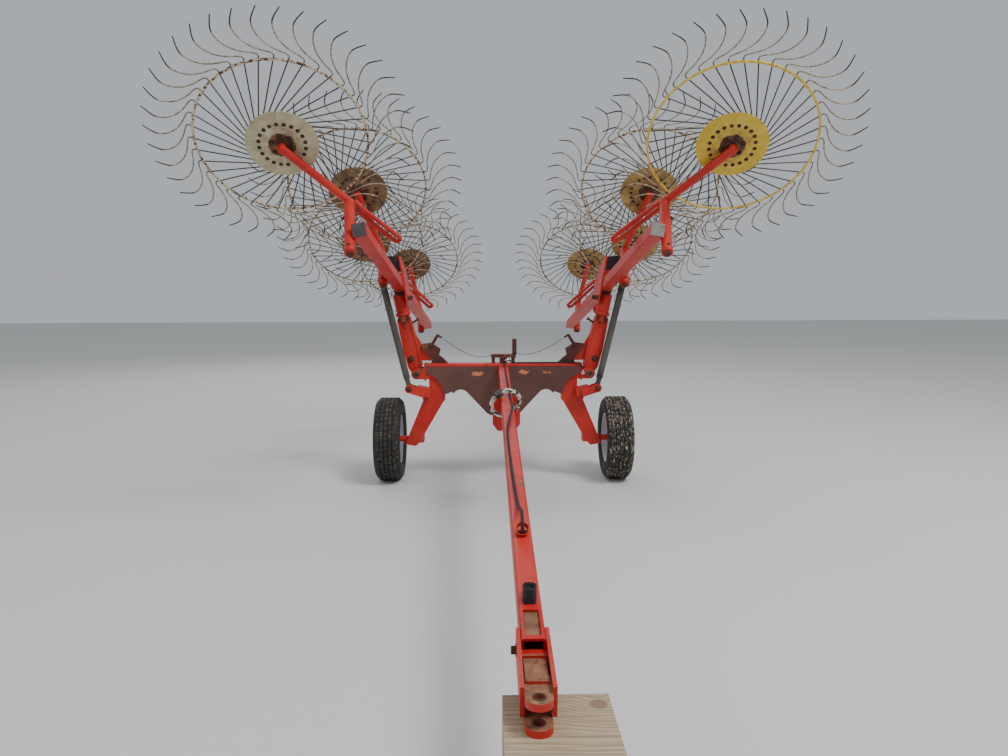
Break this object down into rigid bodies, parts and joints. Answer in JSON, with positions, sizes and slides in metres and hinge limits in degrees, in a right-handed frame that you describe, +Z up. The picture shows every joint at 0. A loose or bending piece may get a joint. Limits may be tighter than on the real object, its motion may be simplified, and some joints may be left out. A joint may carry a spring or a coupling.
{
  "type": "carted rotary hay rake",
  "caption": "Carted rotary hay rake with spring-tined finger wheels on two folding wings, drawn by a long drawbar and parked with the wings up.",
  "frame": {"origin": "on the ground in the middle of the overall length and width", "axes": "+X to the machine's left, +Y to the rear, +Z up"},
  "size_m": [3.985, 6.3794, 2.8797],
  "materials": {
    "red_paint": "worn gloss paint, sun faded",
    "dark_red_paint": "old paint with rust",
    "tyre_rubber": "matt with dried mud",
    "white_paint": "gloss, dusty",
    "cream_paint": "weathered",
    "yellow_paint": "weathered",
    "tan_paint": "weathered, half rust",
    "bare_tines": "worn bright with rust",
    "grey_paint": "satin",
    "rod_chrome": "polished",
    "rusty_steel": "rusted",
    "timber": "sawn, weathered",
    "black_rubber": "matt",
    "grey_cord": "braided, dirty",
    "pale_rope": "laid fibre, weathered",
    "black_paint": "satin"
  },
  "bodies": {
    "frame": {"crossbeam": "red_paint", "gusset": "dark_red_paint", "drawbar": "red_paint", "hitch_clevis": "rusty_steel", "centre_bracket": "dark_red_paint", "latches": "dark_red_paint", "hinge_pins": "rusty_steel", "wheel_leg_left": "red_paint", "wheel_leg_right": "red_paint", "timber_block": "timber", "hose_coupler": "black_rubber", "drawbar_hose": "black_rubber", "side_hose": "black_rubber", "latch_cord_left": "grey_cord", "latch_cord_right": "grey_cord", "rope_coil": "pale_rope"},
    "wing_left": {"lift_arm_left": "red_paint", "wing_beam_left": "red_paint", "beam_clamp_left": "black_paint", "wheel_arms_left": "red_paint"},
    "barrel_left": {"barrel_left": "grey_paint"},
    "rod_left": {"rod_left": "rod_chrome"},
    "tyre_wheel_left": {"tyre_left": "tyre_rubber", "rim_left": "white_paint"},
    "rake_wheel_left_1": {"disc_left_1": "yellow_paint", "tines_left_1": "bare_tines"},
    "rake_wheel_left_2": {"disc_left_2": "tan_paint", "tines_left_2": "bare_tines"},
    "rake_wheel_left_3": {"disc_left_3": "tan_paint", "tines_left_3": "bare_tines"},
    "rake_wheel_left_4": {"disc_left_4": "tan_paint", "tines_left_4": "bare_tines"},
    "wing_right": {"lift_arm_right": "red_paint", "wing_beam_right": "red_paint", "beam_clamp_right": "black_paint", "wheel_arms_right": "red_paint"},
    "barrel_right": {"barrel_right": "grey_paint"},
    "rod_right": {"rod_right": "rod_chrome"},
    "tyre_wheel_right": {"tyre_right": "tyre_rubber", "rim_right": "white_paint"},
    "rake_wheel_right_1": {"disc_right_1": "cream_paint", "tines_right_1": "bare_tines"},
    "rake_wheel_right_2": {"disc_right_2": "tan_paint", "tines_right_2": "bare_tines"},
    "rake_wheel_right_3": {"disc_right_3": "tan_paint", "tines_right_3": "bare_tines"},
    "rake_wheel_right_4": {"disc_right_4": "tan_paint", "tines_right_4": "bare_tines"}
  },
  "joints": [
    {"name": "wing_fold_left", "type": "hinge", "parent": "frame", "child": "wing_left", "pos_m": [0.67, 0.99, 0.844], "axis": [0, 1, 0], "range_deg": [0, 70]},
    {"name": "barrel_swing_left", "type": "hinge", "parent": "frame", "child": "barrel_left", "pos_m": [0.724, 0.885, 0.737], "axis": [0, 1, 0], "range_deg": [0, 67.68]},
    {"name": "rod_slide_left", "type": "slide", "parent": "barrel_left", "child": "rod_left", "axis": [0.2294, 0, 0.9733], "range_m": [-0.13221, 0]},
    {"name": "tyre_spin_left", "type": "hinge", "parent": "frame", "child": "tyre_wheel_left", "pos_m": [0.89, 0.99, 0.325], "axis": [1, 0, 0], "continuous": true},
    {"name": "rake_spin_left_1", "type": "hinge", "parent": "wing_left", "child": "rake_wheel_left_1", "pos_m": [1.26383, -0.52747, 2.32687], "axis": [0.1206, 0.7193, 0.6841], "continuous": true},
    {"name": "rake_spin_left_2", "type": "hinge", "parent": "wing_left", "child": "rake_wheel_left_2", "pos_m": [1.01777, 0.50159, 2.19352], "axis": [0.1206, 0.7193, 0.6841], "continuous": true},
    {"name": "rake_spin_left_3", "type": "hinge", "parent": "wing_left", "child": "rake_wheel_left_3", "pos_m": [1.14357, 1.61508, 1.90582], "axis": [0.1206, 0.7193, 0.6841], "continuous": true},
    {"name": "rake_spin_left_4", "type": "hinge", "parent": "wing_left", "child": "rake_wheel_left_4", "pos_m": [0.8797, 2.66049, 1.75842], "axis": [0.1206, 0.7193, 0.6841], "continuous": true},
    {"name": "wing_fold_right", "type": "hinge", "parent": "frame", "child": "wing_right", "pos_m": [-0.67, 0.99, 0.844], "axis": [0, -1, 0], "range_deg": [0, 70]},
    {"name": "barrel_swing_right", "type": "hinge", "parent": "frame", "child": "barrel_right", "pos_m": [-0.724, 0.885, 0.737], "axis": [0, -1, 0], "range_deg": [0, 67.68]},
    {"name": "rod_slide_right", "type": "slide", "parent": "barrel_right", "child": "rod_right", "axis": [-0.2294, 0, 0.9733], "range_m": [-0.13221, 0]},
    {"name": "tyre_spin_right", "type": "hinge", "parent": "frame", "child": "tyre_wheel_right", "pos_m": [-0.89, 0.99, 0.325], "axis": [1, 0, 0], "continuous": true},
    {"name": "rake_spin_right_1", "type": "hinge", "parent": "wing_right", "child": "rake_wheel_right_1", "pos_m": [-1.26383, -0.52747, 2.32687], "axis": [-0.1206, 0.7193, 0.6841], "continuous": true},
    {"name": "rake_spin_right_2", "type": "hinge", "parent": "wing_right", "child": "rake_wheel_right_2", "pos_m": [-1.01777, 0.50159, 2.19352], "axis": [-0.1206, 0.7193, 0.6841], "continuous": true},
    {"name": "rake_spin_right_3", "type": "hinge", "parent": "wing_right", "child": "rake_wheel_right_3", "pos_m": [-1.14357, 1.61508, 1.90582], "axis": [-0.1206, 0.7193, 0.6841], "continuous": true},
    {"name": "rake_spin_right_4", "type": "hinge", "parent": "wing_right", "child": "rake_wheel_right_4", "pos_m": [-0.8797, 2.66049, 1.75842], "axis": [-0.1206, 0.7193, 0.6841], "continuous": true}
  ],
  "couplings": [
    {"joint": "barrel_swing_left", "follows": "wing_fold_left", "ratio": 0.96677},
    {"joint": "rod_slide_left", "follows": "wing_fold_left", "m_per_rad": -0.10813},
    {"joint": "barrel_swing_right", "follows": "wing_fold_right", "ratio": 0.96677},
    {"joint": "rod_slide_right", "follows": "wing_fold_right", "m_per_rad": -0.10813}
  ]
}
